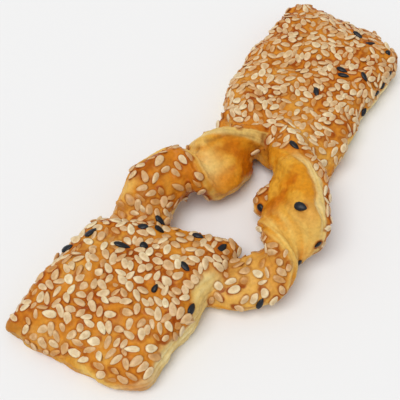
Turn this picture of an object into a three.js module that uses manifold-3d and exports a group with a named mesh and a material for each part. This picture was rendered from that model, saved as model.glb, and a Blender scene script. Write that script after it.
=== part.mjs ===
// A sesame puff pastry stick, modelled in millimetres with +Z up and +X along its length.
// One strip of laminated dough is seeded, slit down the middle and pulled through its own slit once.
// Two seeded plates remain, joined by two bands that each turn over fully round a teardrop hole.
// Left is +Y and right is -Y, seen from the near plate (-X) towards the far plate (+X).
import * as THREE from "three";
import { mergeVertices } from "three/addons/utils/BufferGeometryUtils.js";
import Module from "manifold-3d";

const wasm = await Module();
wasm.setup();

// Plates: the whole width of the strip, domed by the oven and flat underneath.
// A reach is the distance from an edge over which a change fades; the other sizes are the change there.
// A dome's height is its share of full height at that edge, and ahead is how far up the rise it starts.
const PLATE_WIDTH = 41.5;
const PLATE_CORE_HEIGHT = 4.2;
const PLATE_BASE = 4.7;

// The near plate: its free end is skewed, thin and open-cornered.
const NEAR_PLATE = { start: -74.2, length: 46.2, middle: 0.7, dome: 8.5 };
const NEAR_CORNER = { reach: 7, shift: 2.6, drop: 1.8, narrowing: 4, thinning: 2.6 };
const NEAR_SKEW = { reach: 25, slope: 0.09 };
const NEAR_HOLE_SKEW = { reach: 20, slope: 0.4 };
const NEAR_DOME_END = { reach: 26, height: 0, ahead: 2 };
const NEAR_DOME_HOLE = { reach: 11, height: 0.45, ahead: 1 };
const NEAR_HOLE_EDGE = { reach: 16, shift: -0.9, lift: 0.8, narrowing: 3.2, thinning: 0.6 };

// The far plate: its free end is thicker and drawn out to a point on the left.
// Its slit end narrows and rides up on the two bands.
const FAR_PLATE = { start: 9.2, length: 67, middle: -0.8, dome: 8.3, widening: 0.5 };
const FAR_CORNER = { reach: 11, shift: 6.6, narrowing: 5.2, thinning: 1.6 };
const FAR_DOME_END = { reach: 15, height: 0.35, ahead: 0 };
const FAR_DOME_SLIT = { reach: 14, height: 0.25, ahead: 0 };
const FAR_SLIT_END = { reach: 24, lift: 3.6, narrowing: 8.5, thinning: 1.4 };
const FAR_SLIT_DRIFT = { reach: 42, shift: -6.5 };

// Bands: the two halves of the slit strip, where they cross the gap between the plates.
const LEFT_BAND_PATH = [
  [-42, 9.4, 5.0],
  [-30, 10.0, 6.0],
  [-20.8, 12.2, 9.7],
  [-14, 11.2, 11.0],
  [-7, 5.4, 9.2],
  [0, 2.5, 8.0],
  [7.5, 1.9, 6.6],
  [16, 2.8, 5.8],
  [30, 6.4, 5.4],
];
const RIGHT_BAND_PATH = [
  [-36, -9.0, 3.8],
  [-33.8, -16.3, 3.8],
  [-28.8, -25.4, 5.0],
  [-21.5, -29.4, 7.4],
  [-12, -28.0, 9.4],
  [-3, -24.4, 10.0],
  [5, -20.6, 9.6],
  [13, -16.4, 7.8],
  [20, -15.0, 6.5],
  [31, -13.0, 5.4],
];
const LEFT_BAND_WIDTH = 19.6;
const LEFT_BAND_NEAR_WIDTH = 16;
const LEFT_BAND_HALF_THICKNESS = 4.8;
const LEFT_BAND_NEAR_HALF_THICKNESS = 4.5;
const RIGHT_BAND_WIDTH = 21.5;
const RIGHT_BAND_NEAR_WIDTH = 14.8;
const RIGHT_BAND_HALF_THICKNESS = 6.0;
const RIGHT_BAND_NEAR_HALF_THICKNESS = 3.8;
const NARROWING_TURN = [0.74 * Math.PI, 1.15 * Math.PI];
const EDGE_PINCH = 0.15;
const SLIT_WEB = 1.1;
const FOLD_SWELL = 1.4;

// Turns of a band: distance along it from its far end, length of the turn, and angle turned.
const LEFT_BAND_TURNS = [
  { start: 10.5, length: 22, degrees: 152 },
  { start: 36, length: 11, degrees: 173 },
  { start: 46, length: 26, degrees: 35 },
];
const RIGHT_BAND_TURNS = [
  { start: 5, length: 34, degrees: 132 },
  { start: 41, length: 21, degrees: 228 },
];

// A lobe of seeded crust that bulges from the right band into the hole.
const LOBE_CENTRE = [-3.4, -16.4, 6.6];
const LOBE_RADII = [6, 4.2, 3.8];
const LOBE_SIDES = 10;

// Cross-sections are superellipses: the exponents set how square the cut sides and faces are.
const PLATE_SQUARENESS = { across: 5, top: 2.6, bottom: 7 };
const BAND_SQUARENESS = { across: 4, top: 3, bottom: 3 };
const PLATE_RINGS = 15;
const PLATE_SIDES = 24;
const BAND_RINGS = 40;
const BAND_SIDES = 20;

// Crust: slow waves over the whole surface, and ridges of the layers along the cut sides.
const WAVE_HEIGHT = 0.45;
const WAVE_LENGTHS = [17, 23, 13];
const WAVE_STARTS = [0.9, 0.4, 2.1];
const LAYER_RIDGE = 0.35;
const LAYER_PITCH = 4.4;
const LAYER_WALL_START = 0.9;

// Sesame seeds, baked into the glaze of the seeded face.
const SEED_LENGTH = 3.5;
const SEED_WIDTH = 2.2;
const SEED_THICKNESS = 1.4;
const SEED_SIDES = 5;
const SEED_SINK = 0.1;
const SEED_SPACING = 5;
const SEED_COUNT = 155;
const SEED_TRIES = 9000;
const SEED_FACE_SHARE = 0.9;
const SEED_END_SHARE = 0.02;
const SEED_TRAY_CLEARANCE = 3;
const SEED_RANDOM_START = 20261;

// The block that stands for everything below the tray's level.
const TRAY_SIZE = 400;
const TRAY_DEPTH = 40;

// The middle of the stick's box in the strip's own frame, which becomes the origin.
const STICK_MIDDLE = [0.22, -7.3];

// Share of a change that is left at a distance from an edge: whole at the edge, none past the reach.
function fade(distance, reach) {
  const left = 1 - THREE.MathUtils.clamp(distance / reach, 0, 1);
  return left * left;
}

// Height of a dome as a share of its full height: it starts low at an edge and is full past the reach.
function domeShare(distance, { reach, height, ahead }) {
  return 1 - (1 - height) * fade(distance + ahead, reach);
}

// The near plate's section, at a share of its length from its free end.
function nearPlateSection(share) {
  const fromEnd = share * NEAR_PLATE.length;
  const fromHole = NEAR_PLATE.length - fromEnd;
  const corner = fade(fromEnd, NEAR_CORNER.reach);
  const holeEdge = fade(fromHole, NEAR_HOLE_EDGE.reach);
  const endSkew = NEAR_SKEW.slope * fade(fromEnd, NEAR_SKEW.reach);
  const skew = endSkew + NEAR_HOLE_SKEW.slope * fade(fromHole, NEAR_HOLE_SKEW.reach);
  const dome = NEAR_PLATE.dome * domeShare(fromEnd, NEAR_DOME_END) * domeShare(fromHole, NEAR_DOME_HOLE);
  return {
    centre: new THREE.Vector3(
      NEAR_PLATE.start + fromEnd,
      NEAR_PLATE.middle + NEAR_CORNER.shift * corner + NEAR_HOLE_EDGE.shift * holeEdge,
      PLATE_CORE_HEIGHT - NEAR_CORNER.drop * corner + NEAR_HOLE_EDGE.lift * holeEdge,
    ),
    across: new THREE.Vector3(-skew, 1, 0),
    up: new THREE.Vector3(0, 0, 1),
    halfWidth: PLATE_WIDTH / 2 - NEAR_CORNER.narrowing * corner - NEAR_HOLE_EDGE.narrowing * holeEdge,
    top: dome,
    bottom: PLATE_BASE - NEAR_CORNER.thinning * corner - NEAR_HOLE_EDGE.thinning * holeEdge,
  };
}

// The far plate's section, at a share of its length from its slit end.
function farPlateSection(share) {
  const fromSlit = share * FAR_PLATE.length;
  const fromEnd = FAR_PLATE.length - fromSlit;
  const corner = fade(fromEnd, FAR_CORNER.reach);
  const slitEnd = fade(fromSlit, FAR_SLIT_END.reach);
  const drift = fade(fromSlit, FAR_SLIT_DRIFT.reach);
  const dome = FAR_PLATE.dome * domeShare(fromEnd, FAR_DOME_END) * domeShare(fromSlit, FAR_DOME_SLIT);
  const halfWidth = PLATE_WIDTH / 2 + FAR_PLATE.widening;
  return {
    centre: new THREE.Vector3(
      FAR_PLATE.start + fromSlit,
      FAR_PLATE.middle + FAR_CORNER.shift * corner + FAR_SLIT_DRIFT.shift * drift,
      PLATE_CORE_HEIGHT + FAR_SLIT_END.lift * slitEnd,
    ),
    across: new THREE.Vector3(0, 1, 0),
    up: new THREE.Vector3(0, 0, 1),
    halfWidth: halfWidth - FAR_CORNER.narrowing * corner - FAR_SLIT_END.narrowing * slitEnd,
    top: dome,
    bottom: PLATE_BASE - FAR_CORNER.thinning * corner - FAR_SLIT_END.thinning * slitEnd,
  };
}

// Angle a band has turned, at a distance from its far end: each turn eases in and out.
function bandRoll(turns, fromFar) {
  const degrees = turns.reduce(
    (sum, turn) =>
      sum + turn.degrees * THREE.MathUtils.smoothstep(fromFar, turn.start, turn.start + turn.length),
    0,
  );
  return THREE.MathUtils.degToRad(degrees);
}

// A band: its section turns about its path, is pinched where it stands on edge,
// keeps a thicker bare side beside the end of the slit, and swells on the seeded side of the other fold.
function bandRun({ path, side, turns, widths, halfThicknesses }) {
  const points = path.map(([x, y, z]) => new THREE.Vector3(x, y, z));
  const curve = new THREE.CatmullRomCurve3(points, false, "catmullrom", 0.5);
  const length = curve.getLength();
  const section = (share) => {
    const roll = bandRoll(turns, (1 - share) * length);
    const narrowing = THREE.MathUtils.smoothstep(roll, ...NARROWING_TURN);
    const width = THREE.MathUtils.lerp(widths[0], widths[1], narrowing);
    const halfThickness = THREE.MathUtils.lerp(halfThicknesses[0], halfThicknesses[1], narrowing);
    const tangent = curve.getTangentAt(share);
    const outward = new THREE.Vector3(0, 0, side).cross(tangent).normalize();
    const upward = tangent.clone().cross(outward).multiplyScalar(side);
    const [cos, sin] = [Math.cos(roll), Math.sin(roll)];
    return {
      centre: curve.getPointAt(share),
      across: outward.clone().multiplyScalar(cos).addScaledVector(upward, -sin),
      up: upward.clone().multiplyScalar(cos).addScaledVector(outward, sin),
      halfWidth: (width / 2) * (1 - EDGE_PINCH * sin * sin),
      top: halfThickness + FOLD_SWELL * Math.max(0, -sin),
      bottom: halfThickness + SLIT_WEB * Math.max(0, sin),
    };
  };
  return {
    section,
    side,
    length,
    width: widths[0],
    squareness: BAND_SQUARENESS,
    rings: BAND_RINGS,
    sides: BAND_SIDES,
  };
}

// A plate lies flat, so its section only changes size along its length.
function plateRun(section, length) {
  return {
    section,
    side: 1,
    length,
    width: PLATE_WIDTH,
    squareness: PLATE_SQUARENESS,
    rings: PLATE_RINGS,
    sides: PLATE_SIDES,
  };
}

// The four runs of dough that make the stick, each a section carried along its length.
const RUNS = [
  plateRun(nearPlateSection, NEAR_PLATE.length),
  plateRun(farPlateSection, FAR_PLATE.length),
  bandRun({
    path: LEFT_BAND_PATH,
    side: 1,
    turns: LEFT_BAND_TURNS,
    widths: [LEFT_BAND_WIDTH, LEFT_BAND_NEAR_WIDTH],
    halfThicknesses: [LEFT_BAND_HALF_THICKNESS, LEFT_BAND_NEAR_HALF_THICKNESS],
  }),
  bandRun({
    path: RIGHT_BAND_PATH,
    side: -1,
    turns: RIGHT_BAND_TURNS,
    widths: [RIGHT_BAND_WIDTH, RIGHT_BAND_NEAR_WIDTH],
    halfThicknesses: [RIGHT_BAND_HALF_THICKNESS, RIGHT_BAND_NEAR_HALF_THICKNESS],
  }),
];

// Signed power, the building block of a superellipse.
function signedPower(value, exponent) {
  return Math.sign(value) * Math.abs(value) ** exponent;
}

// Height of the slow waves that leave the crust uneven, at a place on it.
function crustWave(point) {
  const distances = [point.x, point.y, point.x + point.y];
  const [along, over, slanting] = distances.map((distance, wave) =>
    Math.sin((2 * Math.PI * distance) / WAVE_LENGTHS[wave] + WAVE_STARTS[wave]),
  );
  return WAVE_HEIGHT * (along * over + slanting / 2);
}

// A point of a section, given as shares of its half width and its thickness.
function sectionPoint(section, acrossShare, upShare) {
  const thickness = upShare > 0 ? section.top : section.bottom;
  const layer = LAYER_RIDGE * Math.cos((2 * Math.PI * upShare * thickness) / LAYER_PITCH);
  const wall = Math.max(0, Math.abs(acrossShare) - LAYER_WALL_START) / (1 - LAYER_WALL_START);
  const reach = section.halfWidth + layer * wall;
  const offset = section.across.clone().multiplyScalar(acrossShare * reach);
  offset.addScaledVector(section.up, upShare * thickness);
  const point = section.centre.clone().add(offset);
  return point.addScaledVector(offset.normalize(), crustWave(point));
}

// The rings of section points of a run, from its first end to its last.
function runRings(run) {
  const { across, top, bottom } = run.squareness;
  const rings = [];
  for (let ring = 0; ring <= run.rings; ring += 1) {
    const section = run.section(ring / run.rings);
    const points = [];
    for (let step = 0; step < run.sides; step += 1) {
      const angle = (step * 2 * Math.PI) / run.sides;
      const acrossShare = signedPower(Math.cos(angle), 2 / across);
      const rise = Math.sin(angle);
      const upShare = signedPower(rise, 2 / (rise > 0 ? top : bottom));
      points.push(sectionPoint(section, acrossShare, upShare));
    }
    rings.push(points);
  }
  return rings;
}

// The closed surface over rings of points: each four-sided cell is split along its shorter diagonal,
// and a fan from the middle of the ring closes each end. A right-hand run winds the other way.
function skinGeometry(rings, side) {
  const sides = rings[0].length;
  const middleOf = (ring) => {
    const sum = new THREE.Vector3();
    ring.forEach((point) => sum.add(point));
    return sum.divideScalar(sides);
  };
  const points = [...rings.flat(), middleOf(rings[0]), middleOf(rings[rings.length - 1])];
  const startMiddle = points.length - 2;
  const endMiddle = points.length - 1;
  const lastRing = (rings.length - 1) * sides;
  const triangles = [];
  const addTriangle = (a, b, c) => triangles.push(a, side > 0 ? b : c, side > 0 ? c : b);
  for (let step = 0; step < sides; step += 1) {
    const next = (step + 1) % sides;
    addTriangle(startMiddle, next, step);
    addTriangle(endMiddle, lastRing + step, lastRing + next);
    for (let first = 0; first < lastRing; first += sides) {
      const [a, b, c, d] = [first + step, first + next, first + sides + next, first + sides + step];
      if (points[a].distanceTo(points[c]) < points[b].distanceTo(points[d])) {
        addTriangle(a, b, c);
        addTriangle(a, c, d);
      } else {
        addTriangle(a, b, d);
        addTriangle(b, c, d);
      }
    }
  }
  return new THREE.BufferGeometry().setFromPoints(points).setIndex(triangles);
}

// A three.js geometry as a closed solid.
function solidOf(geometry) {
  geometry.deleteAttribute("normal");
  geometry.deleteAttribute("uv");
  const merged = mergeVertices(geometry, 1e-4);
  const mesh = new wasm.Mesh({
    numProp: 3,
    vertProperties: new Float32Array(merged.attributes.position.array),
    triVerts: new Uint32Array(merged.index.array),
  });
  return new wasm.Manifold(mesh);
}

// Whether a point lies within a run, by its place in the nearest section.
function isInside(run, point) {
  const steps = 3 * run.rings;
  let nearest = Infinity;
  let inside = false;
  for (let step = 0; step <= steps; step += 1) {
    const section = run.section(step / steps);
    const offset = point.clone().sub(section.centre);
    const acrossShare = Math.abs(offset.dot(section.across)) / section.halfWidth;
    const height = offset.dot(section.up);
    const upShare = Math.abs(height) / (height > 0 ? section.top : section.bottom);
    const along = section.across.clone().cross(section.up);
    const gap = Math.abs(offset.dot(along));
    if (gap < nearest && gap < run.length / steps) {
      nearest = gap;
      const power = height > 0 ? run.squareness.top : run.squareness.bottom;
      inside = acrossShare ** run.squareness.across + upShare ** power < 1;
    }
  }
  return inside;
}

// Random numbers from 0 to 1, the same on every run.
function randomFrom(start) {
  let state = start;
  return () => {
    state = (state * 1664525 + 1013904223) % 4294967296;
    return state / 4294967296;
  };
}

// The place of a seed on a run's seeded face: its point, outward direction and lengthwise direction.
function seedPlace(run, share, acrossShare) {
  const nudge = 0.01;
  const at = (shareOffset, acrossOffset) => {
    const sideways = acrossShare + acrossOffset;
    const upShare = (1 - Math.abs(sideways) ** run.squareness.across) ** (1 / run.squareness.top);
    return sectionPoint(run.section(share + shareOffset), sideways, upShare);
  };
  const point = at(0, 0);
  const along = at(nudge, 0).sub(at(-nudge, 0)).normalize();
  const over = at(0, nudge).sub(at(0, -nudge)).normalize();
  const outward = along.clone().cross(over).multiplyScalar(run.side).normalize();
  return { point, outward, along };
}

// Seeds spread evenly over the seeded face, none within a spacing of another or under a fold.
function seedPlaces() {
  const random = randomFrom(SEED_RANDOM_START);
  const area = RUNS.reduce((sum, run) => sum + run.length * run.width, 0);
  const places = [];
  for (let attempt = 0; attempt < SEED_TRIES && places.length < SEED_COUNT; attempt += 1) {
    let pick = random() * area;
    const run = RUNS.find((candidate) => {
      pick -= candidate.length * candidate.width;
      return pick <= 0;
    });
    const share = THREE.MathUtils.lerp(SEED_END_SHARE, 1 - SEED_END_SHARE, random());
    const acrossShare = SEED_FACE_SHARE * (2 * random() - 1);
    const heading = 2 * Math.PI * random();
    const place = seedPlace(run, share, acrossShare);
    const crowded = places.some((other) => other.point.distanceTo(place.point) < SEED_SPACING);
    const above = place.point.clone().addScaledVector(place.outward, SEED_THICKNESS);
    const covered = RUNS.some((other) => other !== run && isInside(other, above));
    const underneath = above.z < SEED_TRAY_CLEARANCE;
    if (crowded || covered || underneath) {
      continue;
    }
    places.push({ ...place, heading });
  }
  return places;
}

// One seed's shape: a drop turned about its length, blunt at one end, then flattened.
function seedGeometry() {
  const profile = [
    [0, -0.5],
    [1, -0.2],
    [0.9, 0.22],
    [0, 0.5],
  ];
  const outline = profile.map(([out, along]) => new THREE.Vector2(out / 2, along));
  return new THREE.LatheGeometry(outline, SEED_SIDES).scale(SEED_WIDTH, SEED_LENGTH, SEED_THICKNESS);
}

// One seed in its place, sunk a little into the crust and turned to its heading.
function seedSolid({ point, outward, along, heading }) {
  const forward = along.clone().applyAxisAngle(outward, heading);
  const sideways = outward.clone().cross(forward);
  const placed = new THREE.Matrix4().makeBasis(forward, sideways, outward);
  placed.setPosition(point.clone().addScaledVector(outward, -SEED_SINK));
  return solidOf(seedGeometry().applyMatrix4(placed));
}

// What is below the baking tray's level, cut away to leave the flat underside.
function belowTray() {
  const slab = new THREE.BoxGeometry(TRAY_SIZE, TRAY_SIZE, TRAY_DEPTH);
  slab.translate(0, 0, -TRAY_DEPTH / 2);
  return solidOf(slab);
}

// The lobe on the right band, an egg-shaped bulge.
function lobeSolid() {
  const bulge = new THREE.SphereGeometry(1, LOBE_SIDES, LOBE_SIDES / 2);
  return solidOf(bulge.scale(...LOBE_RADII).translate(...LOBE_CENTRE));
}

// The whole stick: the four runs, the lobe and the seeds in one piece, flat underneath.
function pastrySolid() {
  const runs = RUNS.map((run) => solidOf(skinGeometry(runRings(run), run.side)));
  const seeds = seedPlaces().map(seedSolid);
  return wasm.Manifold.union([...runs, lobeSolid(), ...seeds]).subtract(belowTray());
}

// A solid's surface as a three.js geometry.
function geometryOf(solid) {
  const mesh = solid.getMesh();
  const geometry = new THREE.BufferGeometry();
  geometry.setAttribute("position", new THREE.BufferAttribute(mesh.vertProperties, 3));
  geometry.setIndex(new THREE.BufferAttribute(mesh.triVerts, 1));
  geometry.computeVertexNormals();
  return geometry;
}

const crust = new THREE.MeshStandardMaterial({ color: 0xcf8f3c, roughness: 0.55, metalness: 0 });
const pastry = new THREE.Mesh(geometryOf(pastrySolid()), crust);
pastry.name = "pastry";
pastry.position.set(-STICK_MIDDLE[0], -STICK_MIDDLE[1], 0);

const stick = new THREE.Group();
stick.name = "puff_pastry_stick";
stick.add(pastry);

export default stick;
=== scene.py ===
import bpy
import numpy as np
from mathutils import Matrix, Vector
from mathutils.bvhtree import BVHTree


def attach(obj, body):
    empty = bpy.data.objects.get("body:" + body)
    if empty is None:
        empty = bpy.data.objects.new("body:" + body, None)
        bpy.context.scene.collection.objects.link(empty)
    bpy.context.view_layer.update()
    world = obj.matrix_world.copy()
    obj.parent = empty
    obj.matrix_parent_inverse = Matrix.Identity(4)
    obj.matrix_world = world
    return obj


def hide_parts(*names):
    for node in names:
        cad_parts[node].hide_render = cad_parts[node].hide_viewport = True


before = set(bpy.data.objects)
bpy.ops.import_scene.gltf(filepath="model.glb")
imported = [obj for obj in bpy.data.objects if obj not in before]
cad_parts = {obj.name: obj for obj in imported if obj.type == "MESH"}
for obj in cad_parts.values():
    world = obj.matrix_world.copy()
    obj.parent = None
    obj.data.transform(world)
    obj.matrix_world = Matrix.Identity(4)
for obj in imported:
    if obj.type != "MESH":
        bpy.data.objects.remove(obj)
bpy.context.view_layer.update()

# The strip of dough: laminated puff pastry, cut to a strip, slit down the middle and pulled through itself.
# Two flat plates stay at its ends. Two bands join them, each turned over once about its own length.
# It is baked on a flat tray, so the underside is flat and the rest is puffed, blistered and browned.
MM = 0.001
STICK_MIDDLE = np.array([0.22, -7.3, 0.0])

PLATE_WIDTH = 41.5
PLATE_CORE_HEIGHT = 4.2
PLATE_BASE = 4.7
NEAR_PLATE = dict(start=-74.2, length=46.2, middle=0.7, dome=8.5)
NEAR_CORNER = dict(reach=7, shift=2.6, drop=1.8, narrowing=4, thinning=2.6)
NEAR_SKEW = dict(reach=25, slope=0.09)
NEAR_HOLE_SKEW = dict(reach=20, slope=0.4)
NEAR_DOME_END = dict(reach=26, height=0, ahead=2)
NEAR_DOME_HOLE = dict(reach=11, height=0.45, ahead=1)
NEAR_HOLE_EDGE = dict(reach=16, shift=-0.9, lift=0.8, narrowing=3.2, thinning=0.6)
FAR_PLATE = dict(start=9.2, length=67, middle=-0.8, dome=8.3, widening=0.5)
FAR_CORNER = dict(reach=11, shift=6.6, narrowing=5.2, thinning=1.6)
FAR_DOME_END = dict(reach=15, height=0.35, ahead=0)
FAR_DOME_SLIT = dict(reach=14, height=0.25, ahead=0)
FAR_SLIT_END = dict(reach=24, lift=3.6, narrowing=8.5, thinning=1.4)
FAR_SLIT_DRIFT = dict(reach=42, shift=-6.5)

LEFT_BAND = dict(
    side=1,
    path=[
        (-42, 9.4, 5.0), (-30, 10.0, 6.0), (-20.8, 12.2, 9.7), (-14, 11.2, 11.0), (-7, 5.4, 9.2),
        (0, 2.5, 8.0), (7.5, 1.9, 6.6), (16, 2.8, 5.8), (30, 6.4, 5.4),
    ],
    turns=[(10.5, 22, 152), (36, 11, 173), (46, 26, 35)],
    widths=(19.6, 16),
    half_thicknesses=(4.8, 4.5),
)
RIGHT_BAND = dict(
    side=-1,
    path=[
        (-36, -9.0, 3.8), (-33.8, -16.3, 3.8), (-28.8, -25.4, 5.0), (-21.5, -29.4, 7.4), (-12, -28.0, 9.4),
        (-3, -24.4, 10.0), (5, -20.6, 9.6), (13, -16.4, 7.8), (20, -15.0, 6.5), (31, -13.0, 5.4),
    ],
    turns=[(5, 34, 132), (41, 21, 228)],
    widths=(21.5, 14.8),
    half_thicknesses=(6.0, 3.8),
)
NARROWING_TURN = (0.74 * np.pi, 1.15 * np.pi)
EDGE_PINCH = 0.15
SLIT_WEB = 1.1
FOLD_SWELL = 1.4
PLATE_SQUARENESS = (5, 2.6, 7)
BAND_SQUARENESS = (4, 3, 3)
WAVE_HEIGHT = 0.45
WAVE_LENGTHS = (17, 23, 13)
WAVE_STARTS = (0.9, 0.4, 2.1)
LAYER_RIDGE = 0.35
LAYER_PITCH = 4.4
LAYER_WALL_START = 0.9
LOBE_CENTRE = (-3.4, -16.4, 6.6)
LOBE_RADII = (6, 4.2, 3.8)
LOBE_SPAN = 0.999

SECTIONS, PATH_SAMPLES = 241, 4001
RING_POINTS, RING_SAMPLES = 220, 20001
CRUST_VOXEL = 0.3 * MM


def unit(vectors):
    """Vectors divided by their lengths."""
    return vectors / np.linalg.norm(vectors, axis=-1, keepdims=True)


def smoothstep(value, low, high):
    """0 below low, 1 above high and 3t^2 - 2t^3 between, with t the share of the way."""
    t = np.clip((value - low) / (high - low), 0, 1)
    return t * t * (3 - 2 * t)


def fade(distance, reach):
    """Share of an edge's change left at a distance from it: the square of what is left of the reach."""
    return (1 - np.clip(distance / reach, 0, 1)) ** 2


def dome_share(distance, reach, height, ahead):
    """A dome's height as a share of its full height: low at an edge and full past the reach."""
    return 1 - (1 - height) * fade(distance + ahead, reach)


def near_plate_sections(share):
    """Sections of the near plate along its length: straight along X, with a skewed, thin free end."""
    from_end = share * NEAR_PLATE["length"]
    from_hole = NEAR_PLATE["length"] - from_end
    corner = fade(from_end, NEAR_CORNER["reach"])
    hole = fade(from_hole, NEAR_HOLE_EDGE["reach"])
    skew = NEAR_SKEW["slope"] * fade(from_end, NEAR_SKEW["reach"])
    skew += NEAR_HOLE_SKEW["slope"] * fade(from_hole, NEAR_HOLE_SKEW["reach"])
    middle = NEAR_PLATE["middle"] + NEAR_CORNER["shift"] * corner + NEAR_HOLE_EDGE["shift"] * hole
    height = PLATE_CORE_HEIGHT - NEAR_CORNER["drop"] * corner + NEAR_HOLE_EDGE["lift"] * hole
    top = NEAR_PLATE["dome"] * dome_share(from_end, **NEAR_DOME_END)
    top *= dome_share(from_hole, **NEAR_DOME_HOLE)
    zero, one = np.zeros_like(share), np.ones_like(share)
    return dict(
        centre=np.stack([NEAR_PLATE["start"] + from_end, middle, height], 1),
        across=np.stack([-skew, one, zero], 1),
        up=np.stack([zero, zero, one], 1),
        half_width=PLATE_WIDTH / 2 - NEAR_CORNER["narrowing"] * corner - NEAR_HOLE_EDGE["narrowing"] * hole,
        top=top,
        bottom=PLATE_BASE - NEAR_CORNER["thinning"] * corner - NEAR_HOLE_EDGE["thinning"] * hole,
        length=NEAR_PLATE["length"],
        side=1,
        squareness=PLATE_SQUARENESS,
    )


def far_plate_sections(share):
    """Sections of the far plate along its length: the slit end narrows and rides up on the bands."""
    from_slit = share * FAR_PLATE["length"]
    from_end = FAR_PLATE["length"] - from_slit
    corner = fade(from_end, FAR_CORNER["reach"])
    slit = fade(from_slit, FAR_SLIT_END["reach"])
    drift = fade(from_slit, FAR_SLIT_DRIFT["reach"])
    middle = FAR_PLATE["middle"] + FAR_CORNER["shift"] * corner + FAR_SLIT_DRIFT["shift"] * drift
    height = PLATE_CORE_HEIGHT + FAR_SLIT_END["lift"] * slit
    half_width = PLATE_WIDTH / 2 + FAR_PLATE["widening"]
    top = FAR_PLATE["dome"] * dome_share(from_end, **FAR_DOME_END)
    top *= dome_share(from_slit, **FAR_DOME_SLIT)
    zero, one = np.zeros_like(share), np.ones_like(share)
    return dict(
        centre=np.stack([FAR_PLATE["start"] + from_slit, middle, height], 1),
        across=np.stack([zero, one, zero], 1),
        up=np.stack([zero, zero, one], 1),
        half_width=half_width - FAR_CORNER["narrowing"] * corner - FAR_SLIT_END["narrowing"] * slit,
        top=top,
        bottom=PLATE_BASE - FAR_CORNER["thinning"] * corner - FAR_SLIT_END["thinning"] * slit,
        length=FAR_PLATE["length"],
        side=1,
        squareness=PLATE_SQUARENESS,
    )


def smooth_path(path, count):
    """Evenly spaced points on a curve through the path, and its length: between two path points a cubic,
    whose slope at each of them is half the step between its neighbours."""
    knots = np.array(path, float)
    knots = np.vstack([2 * knots[0] - knots[1], knots, 2 * knots[-1] - knots[-2]])
    place = np.linspace(0, len(path) - 1, PATH_SAMPLES)
    stretch = np.minimum(place.astype(int), len(path) - 2)
    t = (place - stretch)[:, None]
    before, first, second, after = (knots[stretch + k] for k in range(4))
    leave, arrive = (second - before) / 2, (after - first) / 2
    curve = (2 * t**3 - 3 * t**2 + 1) * first + (t**3 - 2 * t**2 + t) * leave
    curve += (3 * t**2 - 2 * t**3) * second + (t**3 - t**2) * arrive
    travelled = np.concatenate([[0], np.cumsum(np.linalg.norm(np.diff(curve, axis=0), axis=1))])
    even = np.linspace(0, travelled[-1], count)
    return np.stack([np.interp(even, travelled, curve[:, k]) for k in range(3)], 1), travelled[-1]


def band_sections(share, side, path, turns, widths, half_thicknesses):
    """Sections of a band: carried along its path and rolled about it by the sum of its eased turns."""
    centre, length = smooth_path(path, len(share))
    tangent = unit(np.gradient(centre, axis=0))
    outward = unit(np.cross([0, 0, side], tangent))
    upward = side * np.cross(tangent, outward)
    from_far = (1 - share) * length
    roll = np.radians(sum(angle * smoothstep(from_far, start, start + run) for start, run, angle in turns))
    narrowing = smoothstep(roll, *NARROWING_TURN)
    half_thickness = half_thicknesses[0] + (half_thicknesses[1] - half_thicknesses[0]) * narrowing
    width = widths[0] + (widths[1] - widths[0]) * narrowing
    cos, sin = np.cos(roll)[:, None], np.sin(roll)[:, None]
    return dict(
        centre=centre,
        across=outward * cos - upward * sin,
        up=upward * cos + outward * sin,
        half_width=width / 2 * (1 - EDGE_PINCH * np.sin(roll) ** 2),
        top=half_thickness + FOLD_SWELL * np.maximum(0, -np.sin(roll)),
        bottom=half_thickness + SLIT_WEB * np.maximum(0, np.sin(roll)),
        length=length,
        side=side,
        squareness=BAND_SQUARENESS,
    )


def lobe_sections(share):
    """Sections of the lobe along X, a knob of dough on the right band beside the hole: an egg shape, each
    section a round whose size is the root of 1 less the square of its place, which runs from just past -1 to
    just short of 1."""
    along = 2 * LOBE_SPAN * share - LOBE_SPAN
    size = np.sqrt(1 - along**2)
    zero, one = np.zeros_like(share), np.ones_like(share)
    return dict(
        centre=np.array(LOBE_CENTRE) + np.stack([along * LOBE_RADII[0], zero, zero], 1),
        across=np.stack([zero, one, zero], 1),
        up=np.stack([zero, zero, one], 1),
        half_width=LOBE_RADII[1] * size,
        top=LOBE_RADII[2] * size,
        bottom=LOBE_RADII[2] * size,
        length=2 * LOBE_RADII[0],
        side=1,
        squareness=(2, 2, 2),
    )


def crust_wave(points):
    """Slow unevenness of the crust: waves along and over the strip multiplied, and half a slanting wave."""
    distances = (points[..., 0], points[..., 1], points[..., 0] + points[..., 1])
    waves = [
        np.sin(2 * np.pi * distance / length + start)
        for distance, length, start in zip(distances, WAVE_LENGTHS, WAVE_STARTS)
    ]
    return WAVE_HEIGHT * (waves[0] * waves[1] + waves[2] / 2)


def ring_shares(sections):
    """Shares of half width and thickness round a superellipse, evenly spaced along its outline."""
    across_power, top_power, bottom_power = sections["squareness"]
    angle = np.linspace(0, 2 * np.pi, RING_SAMPLES)
    cos, sin = np.cos(angle), np.sin(angle)
    across = np.sign(cos) * np.abs(cos) ** (2 / across_power)
    rise = np.sign(sin) * np.abs(sin) ** (2 / np.where(sin > 0, top_power, bottom_power))
    outline = np.stack([across * sections["half_width"].mean(), rise * sections["top"].mean()], 1)
    travelled = np.concatenate([[0], np.cumsum(np.linalg.norm(np.diff(outline, axis=0), axis=1))])
    even = np.linspace(0, travelled[-1], RING_POINTS, endpoint=False)
    return np.interp(even, travelled, across), np.interp(even, travelled, rise)


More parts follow.
